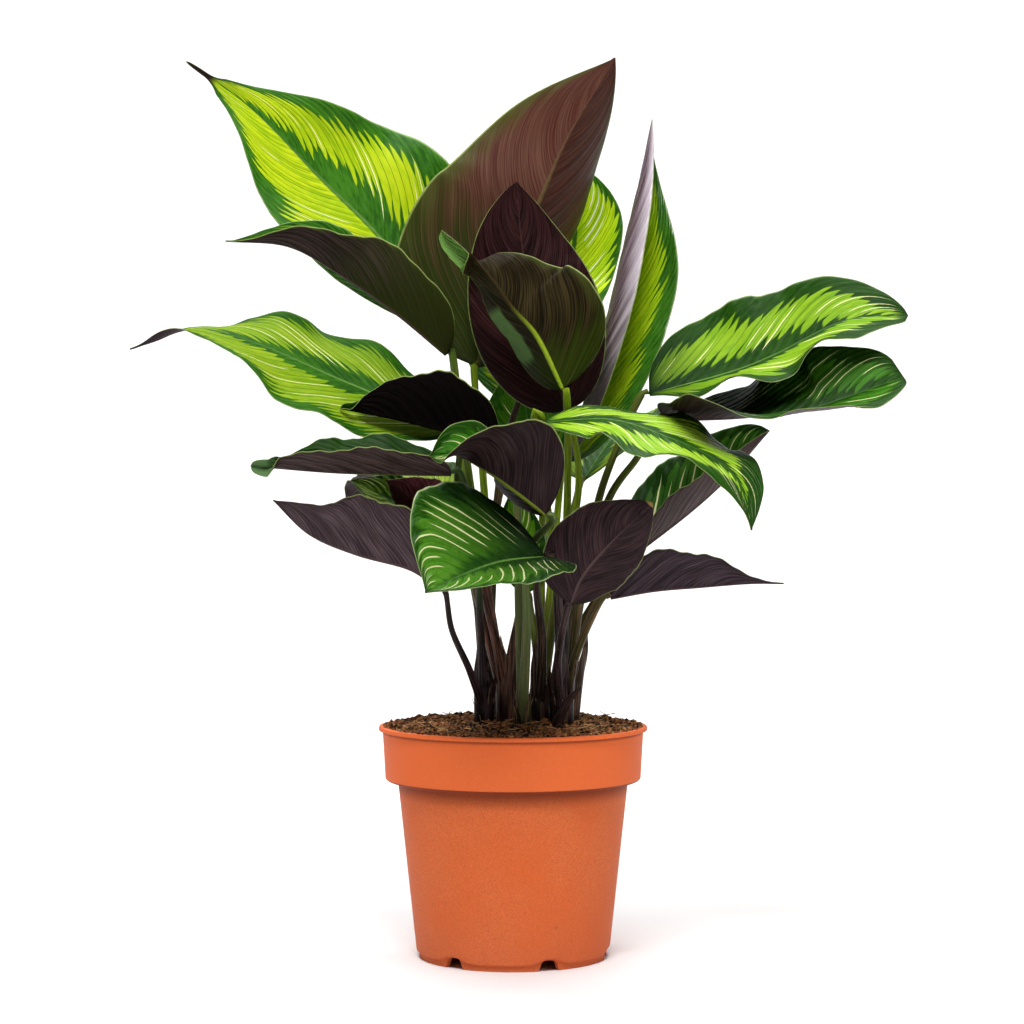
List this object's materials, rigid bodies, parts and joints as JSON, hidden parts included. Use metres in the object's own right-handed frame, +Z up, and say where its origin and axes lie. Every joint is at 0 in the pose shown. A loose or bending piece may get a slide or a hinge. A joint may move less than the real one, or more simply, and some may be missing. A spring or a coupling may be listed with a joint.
{
  "type": "potted calathea",
  "caption": "Leafy calathea with striped leaves and plum undersides on slim stems, rooted in coir soil in a round plastic nursery pot; a free-standing house plant.",
  "frame": {"origin": "middle of the pot's foot, on the surface it stands on", "axes": "+Z up along the pot's axis, -Y towards the front of the plant, +X to the right seen from the front"},
  "size_m": [0.3943, 0.2788, 0.4724],
  "materials": {
    "pot": "terracotta-orange moulded plastic, fine matte grain with a soft sheen on the lip",
    "soil": "loose brown coir fibre and peat crumbs, fully matte",
    "stem_dark": "plum-brown stalks and sheaths with fine lengthwise ribs, satin",
    "stem_green": "grey-green stalk with fine lengthwise ribs, satin",
    "leaf": "upper side deep green with feathered lime bands and cream stripes, glossy; underside plum with raised veins"
  },
  "bodies": {
    "root": {"pot": "pot", "soil": "soil", "shoot_left": "stem_dark", "shoot_middle": "stem_dark", "shoot_front": "stem_green", "shoot_inner": "stem_dark", "shoot_right": "stem_dark", "shoot_outer": "stem_dark", "shoot_back": "stem_dark", "shoot_rear": "stem_dark", "bud": "stem_dark", "leaf_crest": "leaf", "leaf_fold": "leaf", "leaf_spire": "leaf", "leaf_plume": "leaf", "leaf_hood": "leaf", "leaf_pencil": "leaf", "leaf_scroll": "leaf", "leaf_banner": "leaf", "leaf_pennant": "leaf", "leaf_tongue": "leaf", "leaf_wing": "leaf", "leaf_shade": "leaf", "leaf_trough": "leaf", "leaf_shield": "leaf", "leaf_cradle": "leaf", "leaf_prow": "leaf", "leaf_paddle": "leaf", "leaf_keel": "leaf", "leaf_blade": "leaf", "leaf_sliver": "leaf", "leaf_blush": "leaf", "leaf_veil": "leaf", "leaf_sprout": "leaf", "leaf_cloak": "leaf", "leaf_train": "leaf", "leaf_drape": "leaf", "leaf_sail": "leaf"}
  },
  "joints": []
}
